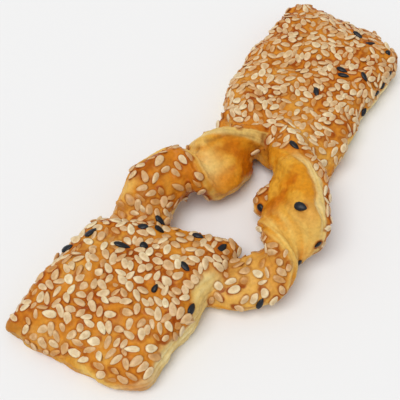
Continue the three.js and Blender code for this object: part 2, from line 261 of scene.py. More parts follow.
def ring_faces(rings, sides):
    """Faces of a closed skin: a quad between each two points of a ring and the same two of the next, and
    a fan of triangles over each end, whose middles are the two points after the rings."""
    step = np.arange(sides)
    following = (step + 1) % sides
    first = np.arange(rings - 1)[:, None] * sides
    last = (rings - 1) * sides
    cells = np.stack([first + step, first + following, first + sides + following, first + sides + step], -1)
    start_fan = np.stack([np.full(sides, rings * sides), following, step], 1)
    end_fan = np.stack([np.full(sides, rings * sides + 1), last + step, last + following], 1)
    return cells.reshape(-1, 4), np.vstack([start_fan, end_fan])


def run_surface(sections):
    """A run of dough as a closed skin: each section's ring joined to the next, and a fan over each end.
    Its sides carry the ridges of the layers, a cosine of the height, and the crust's wave moves it all."""
    across_share, up_share = ring_shares(sections)
    thickness = np.where(up_share > 0, sections["top"][:, None], sections["bottom"][:, None])
    layer = LAYER_RIDGE * np.cos(2 * np.pi * up_share * thickness / LAYER_PITCH)
    wall = np.maximum(0, np.abs(across_share) - LAYER_WALL_START) / (1 - LAYER_WALL_START)
    reach = across_share * (sections["half_width"][:, None] + layer * wall)
    rise = up_share * thickness
    offset = reach[..., None] * sections["across"][:, None] + rise[..., None] * sections["up"][:, None]
    rings = sections["centre"][:, None] + offset
    rings += unit(offset) * crust_wave(rings)[..., None]
    points = np.vstack([rings.reshape(-1, 3), rings[0].mean(0), rings[-1].mean(0)])
    points[:, 2] = np.maximum(points[:, 2], 0)
    cells, fans = ring_faces(SECTIONS, RING_POINTS)
    if sections["side"] < 0:
        cells, fans = cells[:, ::-1], fans[:, ::-1]
    return points, cells, fans


def mesh_from(name, points, faces):
    """A mesh in metres in the stick's frame, from points in millimetres in the strip's frame."""
    mesh = bpy.data.meshes.new(name)
    mesh.from_pydata((points - STICK_MIDDLE) * MM, [], faces)
    mesh.update()
    return mesh


shares = np.linspace(0, 1, SECTIONS)
RUNS = [
    near_plate_sections(shares),
    far_plate_sections(shares),
    band_sections(shares, **LEFT_BAND),
    band_sections(shares, **RIGHT_BAND),
    lobe_sections(shares),
]
NEAR, FAR, LEFT, RIGHT, LOBE = range(5)

skins = [run_surface(sections) for sections in RUNS]
starts = np.cumsum([0] + [len(points) for points, _, _ in skins])
all_faces = []
for start, (_, cells, fans) in zip(starts, skins):
    all_faces += (cells + start).tolist() + (fans + start).tolist()
rough_mesh = mesh_from("pastry_runs", np.vstack([points for points, _, _ in skins]), all_faces)
rough = bpy.data.objects.new("pastry_runs", rough_mesh)
bpy.context.scene.collection.objects.link(rough)
remesh = rough.modifiers.new("one_skin", "REMESH")
remesh.mode = "VOXEL"
remesh.voxel_size = CRUST_VOXEL
depsgraph = bpy.context.evaluated_depsgraph_get()
dough_mesh = bpy.data.meshes.new_from_object(rough.evaluated_get(depsgraph))
dough_mesh.name = "pastry_dough"
bpy.data.objects.remove(rough)


def mesh_array(items, field, width, kind=np.float32):
    """A row of numbers for each item of a mesh, such as the places of its points or the ends of its edges."""
    flat = np.empty(width * len(items), kind)
    items.foreach_get(field, flat)
    return flat.reshape(-1, width)


def put_vertices(mesh, points):
    """Moves the mesh's points to these places in the strip's frame, none of them below the tray."""
    raised = points.copy()
    raised[:, 2] = np.maximum(raised[:, 2], 0)
    mesh.vertices.foreach_set("co", ((raised - STICK_MIDDLE) * MM).astype(np.float32).ravel())
    mesh.update()


def normal_array(mesh):
    """The mesh's vertex normals."""
    return mesh_array(mesh.vertex_normals, "vector", 3).astype(float)


def relaxed(values, edges, rounds, share):
    """Values at the points, moved a share of the way to the mean of their neighbours, in rounds."""
    ends = np.concatenate([edges, edges[:, ::-1]])
    count = np.bincount(ends[:, 0], minlength=len(values))[:, None]
    result = values.copy()
    for _ in range(rounds):
        sums = np.stack(
            [np.bincount(ends[:, 0], result[ends[:, 1], k], len(values)) for k in range(result.shape[1])], 1
        )
        result += share * (sums / count - result)
    return result


def sections_at(sections, index):
    """Sections at places between the worked-out ones, by straight mixing."""
    low = np.clip(index.astype(int), 0, SECTIONS - 2)
    mix = index - low
    found = {}
    for key in ("centre", "across", "up", "half_width", "top", "bottom"):
        column = sections[key]
        part = mix[:, None] if column.ndim == 2 else mix
        found[key] = column[low] * (1 - part) + column[low + 1] * part
    return found


MEAN_SQUARENESS = 3.5
BEYOND_UNIT = 4
SKEW_ROUNDS = 8
POINTS_AT_ONCE = 8000


def run_place(points, run):
    """Where points lie on a run: how far out they are (1 on its skin), their shares across and up, their
    height over the section's middle and their share along. A band's section is the one with the nearest
    middle. Else it is found by the distance along X, and on the near plate moved on by the skew in rounds."""
    sections = RUNS[run]
    if run not in (LEFT, RIGHT):
        first, last = sections["centre"][0, 0], sections["centre"][-1, 0]
        index = (points[:, 0] - first) / (last - first) * (SECTIONS - 1)
        if run == NEAR:
            straight = index
            for _ in range(SKEW_ROUNDS):
                skew = -sections["across"][np.clip(index, 0, SECTIONS - 1).astype(int), 0]
                shift = skew * (points[:, 1] - NEAR_PLATE["middle"])
                index = straight + shift / (last - first) * (SECTIONS - 1)
        beyond = np.maximum(0, np.maximum(-index, index - (SECTIONS - 1))) * (last - first) / (SECTIONS - 1)
        index = np.clip(index, 0, SECTIONS - 1)
    else:
        index = np.empty(len(points))
        for chunk in np.array_split(np.arange(len(points)), 1 + len(points) // POINTS_AT_ONCE):
            gaps = ((points[chunk, None] - sections["centre"][None]) ** 2).sum(-1)
            index[chunk] = gaps.argmin(1)
        beyond = 0
    found = sections_at(sections, index)
    offset = points - found["centre"]
    across = (offset * found["across"]).sum(1) / found["half_width"]
    height = (offset * found["up"]).sum(1)
    rise = height / np.where(height > 0, found["top"], found["bottom"])
    across_power, top_power, bottom_power = sections["squareness"]
    level = np.abs(across) ** across_power + np.abs(rise) ** np.where(height > 0, top_power, bottom_power)
    outness = level ** (1 / MEAN_SQUARENESS) + beyond / BEYOND_UNIT
    return outness, across, rise, height, index / (SECTIONS - 1)


def lump_noise(points, size, start, octaves=1):
    """Smooth random lumps from -1 to 1: random values on a lattice of a size in mm, mixed by eased shares.
    Each further octave adds lumps of half the size and half the height, on a lattice turned another way."""
    cells, shift, octave_shift = 64, 200, 7.3
    draw = np.random.default_rng(start)
    lattice = draw.uniform(-1, 1, (cells, cells, cells))
    total = np.zeros(len(points))
    for octave in range(octaves):
        turn = np.linalg.qr(draw.normal(size=(3, 3)))[0]
        place = points @ turn / size * 2**octave + shift + octave_shift * octave
        cell = np.floor(place).astype(int)
        t = place - cell
        t = t * t * (3 - 2 * t)
        for corner in np.ndindex(2, 2, 2):
            weight = np.prod(np.where(corner, t, 1 - t), axis=1)
            i, j, k = ((cell + corner) % cells).T
            total += weight * lattice[i, j, k] / 2**octave
    return total


def groove_share(points, line, reach):
    """How much of a groove is at each point: all of it on the line through some places, and e to the power of
    minus the square of the distance over the reach beside it."""
    gap = np.full(len(points), np.inf)
    for start, end in zip(np.array(line[:-1]), np.array(line[1:])):
        along = np.clip((points - start) @ (end - start) / ((end - start) ** 2).sum(), 0, 1)
        gap = np.minimum(gap, np.linalg.norm(points - start - along[:, None] * (end - start), axis=1))
    return np.exp(-((gap / reach) ** 2))


def spot_share(points, middle, reach):
    """How much of a spot is at each point: all of it at its middle, fading off it as a groove does."""
    return np.exp(-((points - np.array(middle)) ** 2).sum(1) / reach**2)


dough_edges = mesh_array(dough_mesh.edges, "vertices", 2, np.int32)
dough_points = mesh_array(dough_mesh.vertices, "co", 3).astype(float) / MM + STICK_MIDDLE
dough_points = relaxed(dough_points, dough_edges, rounds=5, share=0.5)
put_vertices(dough_mesh, dough_points)
facing = normal_array(dough_mesh)
places = [run_place(dough_points, run) for run in range(len(RUNS))]
owner = np.stack([place[0] for place in places]).argmin(0)
across_share, up_share, layer_height, along_share = (
    np.choose(owner, [place[k] for place in places]) for k in range(1, 5)
)
run_lengths = np.array([sections["length"] for sections in RUNS])[owner]
half_widths = np.array([sections["half_width"].mean() for sections in RUNS])[owner]
from_near = along_share * run_lengths
from_far = run_lengths - from_near
on_band = (owner == LEFT) | (owner == RIGHT)

# Faces of the strip: the knife leaves cream layers on the cut sides, on a band only along its slit edge.
# Other edges and the free ends bake thin and gold, the rest of the upper face is washed and seeded, and the
# turned bands show the bare underside. A pair is the stretch in mm along a run where a face starts or ends.
# A wall's start is a share of the half width, and a cut's top and bottom are shares of the thickness.
RAGGED_SIZE, RAGGED_SHARE = 5, 0.13
NEAR_WALL_START, WALL_START, WALL_FADING = 0.83, 0.85, 0.07
POCKET_WALL_GAIN, LIP_WALL_GAIN = 0.07, 0.13
NEAR_RIGHT_CUT_TOP, NEAR_LEFT_CUT_TOP, POCKET_RISE = 0.52, 0.1, 0.31
FAR_CUT_TOP, BAND_CUT_TOP, FAR_END_CUT_TOP = 0.05, 0.2, 0.45
LEFT_CUT_BOTTOM, RIGHT_CUT_BOTTOM, PLATE_CUT_BOTTOM, LIP_DROP = -0.5, -0.35, -2, 0.45
CUT_FADING = (-0.1, 0.1)
NEAR_POCKET_START = (22, 34)
NEAR_CUT_STOP = (36, 40)
NEAR_FRONT_START = (40, 43)
NEAR_END_DEPTH, FAR_END_DEPTH = 2.4, 2.5
LEFT_LIP_LENGTH, LEFT_LIP_FADING = 34, 6
RIGHT_CUT_START = (23, 31)
RIGHT_GOLD_STOP = (40, 46)
RIGHT_LIP_LENGTH = 27
LEFT_BARE_KNOB, LEFT_KNOB_REACH = (-26.5, 17, 13.3), 4
FLAP_LENGTH, FLAP_MIDDLE, FLAP_HALF_WIDTH = 6, -8.5, 10.5
ragged = RAGGED_SHARE * lump_noise(dough_points, RAGGED_SIZE, 31, 2)
pocket_side = (owner == NEAR) * (across_share < 0) * smoothstep(from_near, *NEAR_POCKET_START)
upturned = (owner == LEFT) * smoothstep(LEFT_LIP_LENGTH - from_far, 0, LEFT_LIP_FADING)
wall_start = np.where(owner == NEAR, NEAR_WALL_START, WALL_START)
wall_start = wall_start - POCKET_WALL_GAIN * pocket_side - LIP_WALL_GAIN * upturned
edge_side = smoothstep(np.abs(across_share) + 0.3 * ragged, wall_start, wall_start + WALL_FADING)
near_top = np.where(across_share < 0, NEAR_RIGHT_CUT_TOP, NEAR_LEFT_CUT_TOP) + POCKET_RISE * pocket_side
cut_top = np.select([owner == NEAR, owner == FAR], [near_top, FAR_CUT_TOP], BAND_CUT_TOP) + ragged
band_bottoms = [LEFT_CUT_BOTTOM - LIP_DROP * upturned, RIGHT_CUT_BOTTOM]
cut_bottom = np.select([owner == LEFT, owner == RIGHT], band_bottoms, PLATE_CUT_BOTTOM) + ragged
edge_side *= smoothstep(cut_top - up_share, *CUT_FADING) * smoothstep(up_share - cut_bottom, *CUT_FADING)
cream = edge_side * np.where(on_band, across_share < 0, 1)
cream *= np.where(owner == RIGHT, smoothstep(from_far, *RIGHT_CUT_START), 1)
cream *= 1 - (owner == NEAR) * (across_share < 0) * smoothstep(from_near + 10 * ragged, *NEAR_CUT_STOP)
gold = edge_side * (on_band & (across_share > 0))
gold *= 1 - (owner == RIGHT) * smoothstep(from_far, *RIGHT_GOLD_STOP)
near_end = smoothstep(-facing[:, 0], 0.35, 0.7) * smoothstep(NEAR_END_DEPTH - from_near + 8 * ragged, 0, 1.5)
far_end = smoothstep(facing[:, 0], 0.5, 0.8) * (from_far < FAR_END_DEPTH)
far_end *= smoothstep(FAR_END_CUT_TOP + ragged - up_share, *CUT_FADING)
cream = np.maximum(cream, np.where(owner == FAR, far_end, 0))
gold = np.maximum(gold, np.where(owner == NEAR, near_end, 0))
seeded = np.where(owner == LOBE, 1, smoothstep(up_share, -0.06, 0.14))
right_lip = (owner == RIGHT) & (across_share < 0) & (from_far < RIGHT_LIP_LENGTH)
seeded = np.maximum(seeded, edge_side * right_lip)
near_front = (owner == NEAR) * smoothstep(facing[:, 0], 0.45, 0.75) * smoothstep(from_near, *NEAR_FRONT_START)
seeded *= 1 - near_front
seeded *= (1 - cream) * (1 - gold) * (1 - spot_share(dough_points, LEFT_BARE_KNOB, LEFT_KNOB_REACH))
flap = np.where(owner == FAR, smoothstep(FLAP_LENGTH - from_near + 10 * ragged, 0, 3), 0)
flap *= smoothstep(FLAP_HALF_WIDTH - np.abs(dough_points[:, 1] - FLAP_MIDDLE), 0, 4)
flap = np.maximum(flap, np.where(owner == FAR, smoothstep(-facing[:, 0], 0.5, 0.8) * (from_near < 5), 0))
faces_of_strip = np.stack([seeded, cream, gold, flap, layer_height], 1)
seeded, cream, gold, flap, layer_height = relaxed(faces_of_strip, dough_edges, rounds=3, share=0.5).T
bare = 1 - np.maximum(np.maximum(seeded, cream), gold)

# Fine relief of the crust: puffed lumps and grain all over, pimples under the seeds, and blisters and creases
# along the bare faces. A groove crosses the right band and the slit's end, a ledge runs along the left band's
# lip, and the cut sides have layers of uneven depth. Sizes, heights and depths are in mm.
LUMP_SIZE, LUMP_HEIGHT = 6.5, 0.42
PIMPLE_SIZE, PIMPLE_HEIGHT = 2.4, 0.28
GRAIN_SIZE, GRAIN_HEIGHT = 1.2, 0.12
END_SIZE, END_HEIGHT = 4.5, 0.7
BLISTER_SIZE, BLISTER_HEIGHT = 6.0, 0.5
CREASE_LENGTH, CREASE_WIDTH, CREASE_HEIGHT, CREASE_SLANT, RUNS_APART = 7, 2.2, 0.3, 0.12, 9
RIGHT_GROOVE = [(-5, -18.7, 13.1), (-8.5, -24.5, 17.2), (-10.3, -29.6, 17.7)]
SLIT_GROOVE = [(12.1, -4.7, 11.9), (10.6, -6.1, 11.0), (9.2, -6.4, 10.0), (7.6, -8.6, 10.4)]
LEFT_LEDGE = [(-4.5, 8.2, 13.7), (-0.6, 6.7, 15.7), (3.7, 4.0, 15.7), (7.7, -0.4, 14.7), (9.6, -2.7, 13.5)]
GROOVE_REACH, LEDGE_REACH = 1.1, 0.7
RIGHT_GROOVE_DEPTH, SLIT_GROOVE_DEPTH, LEDGE_DEPTH = 0.4, 0.7, 0.45
LEFT_LUMP_SIZE, LEFT_LUMP_HEIGHT, LEFT_LUMP_START = 4.5, 0.65, (14, 20)
LAYER_STEP, LAYER_DEPTH, LAYER_MEAN, LAYER_COUNT = 1.6, 0.4, 0.4, 64
LAYER_WANDER, LAYER_WANDER_SIZE = 1.3, 12
FLAKE_SIZE, FLAKE_SHARE = 2.2, 0.35
relief = LUMP_HEIGHT * lump_noise(dough_points, LUMP_SIZE, 11, 2)
relief += GRAIN_HEIGHT * lump_noise(dough_points, GRAIN_SIZE, 12, 2)
relief += PIMPLE_HEIGHT * seeded * lump_noise(dough_points, PIMPLE_SIZE, 18, 2)
relief += END_HEIGHT * np.where(owner == NEAR, near_end, 0) * lump_noise(dough_points, END_SIZE, 19, 2)
relief += BLISTER_HEIGHT * bare * smoothstep(lump_noise(dough_points, BLISTER_SIZE, 13, 2), 0.2, 0.8)
unrolled = np.stack(
    [
        from_near / CREASE_LENGTH + CREASE_SLANT * across_share,
        across_share * half_widths / CREASE_WIDTH,
        up_share + RUNS_APART * owner,
    ],
    1,
)
creases = lump_noise(unrolled, 1, 14, 3)
relief += CREASE_HEIGHT * creases * (bare + 0.5 * gold)
left_lumps = (owner == LEFT) * seeded * smoothstep(from_near, *LEFT_LUMP_START)
relief += LEFT_LUMP_HEIGHT * left_lumps * lump_noise(dough_points, LEFT_LUMP_SIZE, 20, 2)
right_groove = groove_share(dough_points, RIGHT_GROOVE, GROOVE_REACH)
slit_groove = groove_share(dough_points, SLIT_GROOVE, GROOVE_REACH)
left_ledge = groove_share(dough_points, LEFT_LEDGE, LEDGE_REACH)
relief -= RIGHT_GROOVE_DEPTH * right_groove + SLIT_GROOVE_DEPTH * slit_groove + LEDGE_DEPTH * left_ledge
layer_place = (layer_height + LAYER_WANDER * lump_noise(dough_points, LAYER_WANDER_SIZE, 15, 2)) / LAYER_STEP
layer_number = np.floor(layer_place).astype(int)
layer_depth = np.random.default_rng(16).uniform(0.1, 1, LAYER_COUNT)[layer_number % LAYER_COUNT]
ledge = layer_depth * np.abs(np.sin(np.pi * layer_place))
ledge += FLAKE_SHARE * lump_noise(dough_points, FLAKE_SIZE, 17, 2)
relief += LAYER_DEPTH * cream * (ledge - LAYER_MEAN)
dough_points += facing * relief[:, None]
put_vertices(dough_mesh, dough_points)
facing = normal_array(dough_mesh)
soft_facing = unit(relaxed(facing, dough_edges, rounds=8, share=0.5))


def colour(hex_value):
    """A hex colour in sRGB as linear red, green and blue with alpha."""
    parts = [int(hex_value[k:k + 2], 16) / 255 for k in (1, 3, 5)]
    return [part / 12.92 if part <= 0.04045 else ((part + 0.055) / 1.055) ** 2.4 for part in parts] + [1]


def tinted(tint, hex_value, share):
    """A tint at each point, moved towards a colour by the share there."""
    return tint + (np.array(colour(hex_value)) - tint) * np.clip(share, 0, 1)[:, None]


def put_attribute(mesh, name, values):
    """Stores one number, or one colour, for each point of the mesh."""
    kind, field = ("FLOAT", "value") if values.ndim == 1 else ("FLOAT_COLOR", "color")
    attribute = mesh.attributes.new(name, kind, "POINT")
    attribute.data.foreach_set(field, values.astype(np.float32).ravel())


# Tints of the crust: amber wash, toasted in patches and yellow where it is thin; golden bare dough with brown
# blisters, pale creases and an orange streak; straw-coloured layers; and thin gold edges. The oven browns the
# corners most. Painted shade darkens the grooves, the ledge, the pocket by the near plate, the slit's end,
# the left lip's far end and the hollows between the layers. A spot has its colour, the share of it, its
# middle and its reach.
PATCH_SIZE, FLECK_SIZE, BLOTCH_SIZE, BLOTCH_WARP = 9, 2.3, 7, 2.5
LEFT_STREAK = [(-1.0, 3.6, 14.7), (0.8, 1.0, 13.7), (2.6, -1.2, 12.0), (4.5, -3.4, 9.4)]
STREAK_REACH = 1.3
LEFT_YELLOW_LENGTH, LEFT_PALE_START = 20, (30, 37)
RIGHT_YELLOW_START, RIGHT_PALE_START = (52, 66), (38, 50)
LIP_SHADE_LENGTH = 24
BARE_SPOTS_AND_SHADE = [
    ("#EACB80", 0.75, (-8.0, 2.8, 13.6), 5),
    ("#D07C14", 0.6, (-5.8, -2.7, 10.7), 3),
    ("#E6BE60", 0.75, (-15.2, -30.3, 12.4), 5),
    # Dark brown at the slit's end between the bands: painted shade.
    ("#8A5A1C", 0.5, (9.4, -5, 10), 3.5),
]
BROWNING_AND_SHADE_SPOTS = [
    ("#9A4E16", 0.6, (-74, 20, 2), 7),
    ("#C06C14", 0.75, (-70, -18, 3), 6),
    # Darker brown in the pocket between the near plate's wall and the right band: painted shade.
    ("#A8601A", 0.5, (-30.2, -19.5, 8), 4),
]
patches = lump_noise(dough_points, PATCH_SIZE, 21, 3)
flecks = lump_noise(dough_points, FLECK_SIZE, 22, 3)
blotches = lump_noise(dough_points + BLOTCH_WARP * patches[:, None], BLOTCH_SIZE, 24, 3)
plain = np.zeros((len(dough_points), 4))
everywhere = np.ones(len(dough_points))

wash = tinted(plain, "#D08629", everywhere)
wash = tinted(wash, "#BE6611", 0.4 * smoothstep(patches, -0.05, 0.6))
thin_wash = np.where(owner == FAR, 0.3, 0.65)
wash = tinted(wash, "#E0AC4E", thin_wash * smoothstep(-patches + 0.4 * flecks, 0.1, 0.7))
wash = tinted(wash, "#A9530C", 0.55 * smoothstep(flecks, 0.2, 0.8))
wash = tinted(wash, "#C26A0C", 0.5 * (owner == LEFT))
wash = tinted(wash, "#8E3E06", 0.6 * (owner == LEFT) * smoothstep(blotches + 0.4 * flecks, 0.15, 0.7))
wash = tinted(wash, "#DC9834", 0.6 * (owner == LEFT) * smoothstep(-blotches + 0.4 * flecks, 0.2, 0.8))
wash = tinted(wash, "#E2A84C", 0.6 * (owner == LEFT) * smoothstep(LEFT_YELLOW_LENGTH - from_near, 0, 8))
wash = tinted(wash, "#E6BA60", 0.65 * (owner == RIGHT) * smoothstep(from_far, *RIGHT_YELLOW_START))

naked = tinted(plain, "#D48A1E", everywhere)
naked = tinted(naked, "#C76F0C", 0.9 * smoothstep(blotches + 0.6 * (0.5 - np.abs(across_share)), 0.05, 0.65))
naked = tinted(naked, "#E2AA3C", 0.6 * smoothstep(-blotches + 0.5 * flecks + 0.3 * creases, 0.15, 0.7))
naked = tinted(naked, "#A85A0C", 0.5 * smoothstep(flecks + 0.5 * blotches, 0.3, 0.9))
left_pale = (owner == LEFT) * smoothstep(from_far, *LEFT_PALE_START)
right_pale = (owner == RIGHT) * smoothstep(from_far, *RIGHT_PALE_START)
naked = tinted(naked, "#E4BC66", 0.7 * left_pale * smoothstep(creases - 0.3 * blotches, -0.4, 0.8))
naked = tinted(naked, "#E6C06C", 0.85 * right_pale * smoothstep(creases - 0.3 * blotches, -0.8, 0.5))
for spot_colour, share, middle, reach in BARE_SPOTS_AND_SHADE:
    naked = tinted(naked, spot_colour, share * spot_share(dough_points, middle, reach))
left_streak = groove_share(dough_points, LEFT_STREAK, STREAK_REACH)
naked = tinted(naked, "#B4620C", 0.65 * left_streak * smoothstep(flecks, -0.8, 0.2))

layers = tinted(plain, "#F2DFA4", everywhere)
layers = tinted(layers, "#E0BA70", 0.6 * on_band)
layers = tinted(layers, "#D8B45C", 0.4 * pocket_side)
layers = tinted(layers, "#C49A48", 0.5 * upturned)
# Darker brown on the left lip towards its far end, by the slit: painted shadow.
layers = tinted(layers, "#A8742A", 0.6 * upturned * smoothstep(LIP_SHADE_LENGTH - from_far, 0, 8))
# Darker where the layers sink between their ledges: painted shade in the hollows.
layers = tinted(layers, "#DAB464", 0.7 * smoothstep(0.6 - ledge, 0, 0.7))
layers = tinted(layers, "#DDB662", 0.5 * smoothstep(patches, -0.2, 0.6))
thin_edges = tinted(plain, "#E2B65C", everywhere)
thin_edges = tinted(thin_edges, "#CC8C2E", smoothstep(patches + 0.5 * flecks, 0, 0.7))

skin = naked + (wash - naked) * seeded[:, None]
skin += (thin_edges - skin) * np.clip(gold + 0.6 * flap, 0, 1)[:, None]
skin += (layers - skin) * cream[:, None]
for spot_colour, share, middle, reach in BROWNING_AND_SHADE_SPOTS:
    skin = tinted(skin, spot_colour, share * spot_share(dough_points, middle, reach))
# Darker in the grooves across the right band and the slit's end, and along the ledge: painted shade.
skin = tinted(skin, "#B0600E", 0.45 * right_groove)
skin = tinted(skin, "#8A4208", 0.65 * slit_groove)
skin = tinted(skin, "#8C5C22", 0.55 * left_ledge)
put_attribute(dough_mesh, "tint", skin)
put_attribute(dough_mesh, "washed", seeded)


def add_node(material, kind, inputs=None, **settings):
    """Adds a node with its settings; an input is a value to set or an output to link."""
    node = material.node_tree.nodes.new(kind)
    for key, value in settings.items():
        setattr(node, key, value)
    for key, value in (inputs or {}).items():
        if isinstance(value, bpy.types.NodeSocket):
            material.node_tree.links.new(value, node.inputs[key])
        else:
            node.inputs[key].default_value = value
    return node


def new_material(name):
    """A material with its own shader, and that shader."""
    material = bpy.data.materials.new(name)
    material.use_nodes = True
    return material, material.node_tree.nodes["Principled BSDF"]


def stored(material, name, output="Fac"):
    """What the mesh has stored under a name."""
    return add_node(material, "ShaderNodeAttribute", attribute_name=name).outputs[output]


def fine_noise(material, size, detail):
    """Noise from 0 to 1 all over the object, with lumps of a size in mm."""
    place = add_node(material, "ShaderNodeTexCoord").outputs["Object"]
    inputs = {"Vector": place, "Scale": 1 / (size * MM), "Detail": detail}
    return add_node(material, "ShaderNodeTexNoise", inputs).outputs["Fac"]


def mapped(material, value, old, new):
    """A value carried from its old range to a new one, and held at the new range's ends."""
    inputs = {"Value": value, "From Min": old[0], "From Max": old[1], "To Min": new[0], "To Max": new[1]}
    return add_node(material, "ShaderNodeMapRange", inputs).outputs["Result"]


def mixed(material, share, first, second, blend="MIX"):
    """The first colour blended with a share of the second. The node's sockets for colours go by number."""
    share_in, first_in, second_in, colour_out = 0, 6, 7, 2
    inputs = {share_in: share, first_in: first, second_in: second}
    node = add_node(material, "ShaderNodeMix", inputs, data_type="RGBA", blend_type=blend)
    return node.outputs[colour_out]


# Egg-washed puff pastry: its tint is freckled finely by the oven. Round each seed a red-brown ring is
# painted, partly wash burnt where it gathers and partly painted contact shade. The wash has a soft gloss and
# the bare dough a weaker one.
FRECKLE_SIZE, FRECKLE_DEPTH = 0.9, 0.3
crust, crust_shader = new_material("egg_washed_puff_pastry")
freckles = fine_noise(crust, FRECKLE_SIZE, 4)
freckle_light = mapped(crust, freckles, (0.3, 0.7), (0.87, 1.1))
freckled = mixed(crust, 1, stored(crust, "tint", "Color"), freckle_light, "MULTIPLY")
# A red-brown ring round each seed: burnt wash, and painted contact shade.
burnt_and_shaded = mixed(crust, stored(crust, "burnt_wash_and_shade"), freckled, colour("#923F06"))
gloss = mapped(crust, stored(crust, "washed"), (0, 1), (0.38, 0.3))
grain = add_node(
    crust, "ShaderNodeBump", {"Height": freckles, "Strength": 0.35, "Distance": FRECKLE_DEPTH * MM}
).outputs["Normal"]
crust.node_tree.links.new(burnt_and_shaded, crust_shader.inputs["Base Color"])
crust.node_tree.links.new(gloss, crust_shader.inputs["Roughness"])
crust.node_tree.links.new(grain, crust_shader.inputs["Normal"])
crust_shader.inputs["Specular IOR Level"].default_value = 0.08


def add_piece(mesh, material):
    """A smooth-shaded object of the mesh and its material, which rides on the root in the solid's place."""
    mesh.polygons.foreach_set("use_smooth", np.ones(len(mesh.polygons), bool))
    mesh.materials.append(material)
    piece = bpy.data.objects.new(mesh.name, mesh)
    bpy.context.scene.collection.objects.link(piece)
    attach(piece, "root")
    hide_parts("pastry")
    return piece


dough = add_piece(dough_mesh, crust)

# The camera: looking down on the stick from beyond the near plate's right corner, as the photograph does.
# Its place is in mm in the strip's frame. A picture point is in pixels of the 400 by 400 frame.
PICTURE = 400
FOCAL_PIXELS = 815.5
SENSOR_WIDTH = 36
CAMERA_PLACE = np.array([-130.3, -78.3, 193.7])
CAMERA_AIM = np.array([-13.68, 0.95, 5.65])
backward = unit(CAMERA_PLACE - CAMERA_AIM)
rightward = unit(np.cross([0, 0, 1], backward))
picture_up = np.cross(backward, rightward)
camera_data = bpy.data.cameras.new("photo_view")
camera_data.sensor_width = SENSOR_WIDTH
camera_data.lens = SENSOR_WIDTH * FOCAL_PIXELS / PICTURE
camera_data.clip_start = 0.01
camera = bpy.data.objects.new("photo_view", camera_data)
camera.matrix_world = Matrix.Translation((CAMERA_PLACE - STICK_MIDDLE) * MM) @ Matrix(
    np.stack([rightward, picture_up, backward], 1).tolist()
).to_4x4()
bpy.context.scene.collection.objects.link(camera)
bpy.context.scene.camera = camera


def picture_rays(pixels):
    """Directions from the camera through points of the picture."""
    pixels = np.array(pixels, float)
    right_part = (pixels[:, :1] - PICTURE / 2) * rightward
    up_part = (PICTURE / 2 - pixels[:, 1:]) * picture_up
    return unit(right_part + up_part - FOCAL_PIXELS * backward)


# Black sesame seeds: whole unhulled seeds mixed in with the white ones, pressed into the egg wash.
# Each of those that show is placed where the photograph has it, on the crust under that picture point. The
# point is in pixels, then come the seed's angle in the picture and its length, 1 for a usual one.
BLACK_PIXELS = [
    (358, 36, -35, 1), (369, 44, -5, 1), (388, 53, -50, 0.6), (342, 70, -25, 1), (343, 76, -20, 1),
    (364, 77, -66, 1), (316, 92, -70, 1), (389, 73, 55, 0.6), (382, 86, 58, 0.75), (376, 93, 60, 0.75),
    (363, 112, 67, 1), (294, 146, -43, 1), (301, 207, -15, 1), (261, 208, -60, 0.8), (318, 244, 60, 0.65),
    (298, 262, 30, 0.65), (260, 303, 55, 1), (222, 248, 30, 1), (198, 237, -15, 1), (185, 267, -47, 1),
    (191, 309, 65, 1), (143, 227, -5, 1), (160, 222, -45, 1), (159, 230, -27, 0.85), (122, 246, -8, 1.15),
    (91, 233, 38, 0.9), (68, 249, 30, 1), (155, 289, 50, 0.65), (144, 246, -15, 0.7),
]
BLACK_GROWTH = np.array([1.06, 0.98, 1.1])
BLACK_LIFT = 0.15
SEED_SIZE = np.array([3.3, 1.95, 0.95])
SEED_SPREAD = np.array([0.1, 0.14, 0.14])
SEED_LIFT, SEED_SINKING, DROWNED_SHARE = 0.2, 0.5, 0.27
SEED_TILT = 0.2
SEED_RINGS = 5
SEED_ANGLES = np.radians([0, 32, 66, 114, 148, 180, 240, 300])
NEAR_SEED_GROWTH, FAR_SEED_GROWTH = 1.12, 1.09
SEED_GROWTH_RUN = (-70, 50)
STEEPEST_HEADING = 2


def seed_shells(points, outward, forward, sizes):
    """Seeds as one mesh: each a drop with one blunt and one pointed end, its half width at a share t of its
    length 1.15 times the root of t times (1 - t) to the power 0.75, which is half at the widest place. Its
    section is a flattened round. Also gives how far each point is below its seed's crown, 0 there and 1 from
    the middle down."""
    t = 0.5 - 0.5 * np.cos(np.linspace(0, np.pi, SEED_RINGS + 2)[1:-1])
    half = 1.15 * np.sqrt(t) * (1 - t) ** 0.75
    sides = len(SEED_ANGLES)
    ring = np.stack(
        [
            np.broadcast_to(t[:, None] - 0.5, (len(t), sides)),
            half[:, None] * np.cos(SEED_ANGLES),
            half[:, None] * np.sin(SEED_ANGLES),
        ],
        -1,
    ).reshape(-1, 3)
    shape = np.vstack([ring, [[-0.5, 0, 0], [0.5, 0, 0]]])
    from_crown = 1 - np.clip(2.2 * shape[:, 2], 0, 1)
    axes = np.stack([forward, np.cross(outward, forward), outward], 1)
    placed = points[:, None] + np.einsum("svk,skc->svc", shape[None] * sizes[:, None], axes)
    cells, fans = ring_faces(len(t), sides)
    cells, fans = cells[:, [0, 3, 2, 1]], fans[:, [0, 2, 1]]
    starts = np.arange(len(points))[:, None, None] * len(shape)
    faces = (cells[None] + starts).reshape(-1, 4).tolist() + (fans[None] + starts).reshape(-1, 3).tolist()
    return placed.reshape(-1, 3), faces, np.tile(from_crown, len(points))


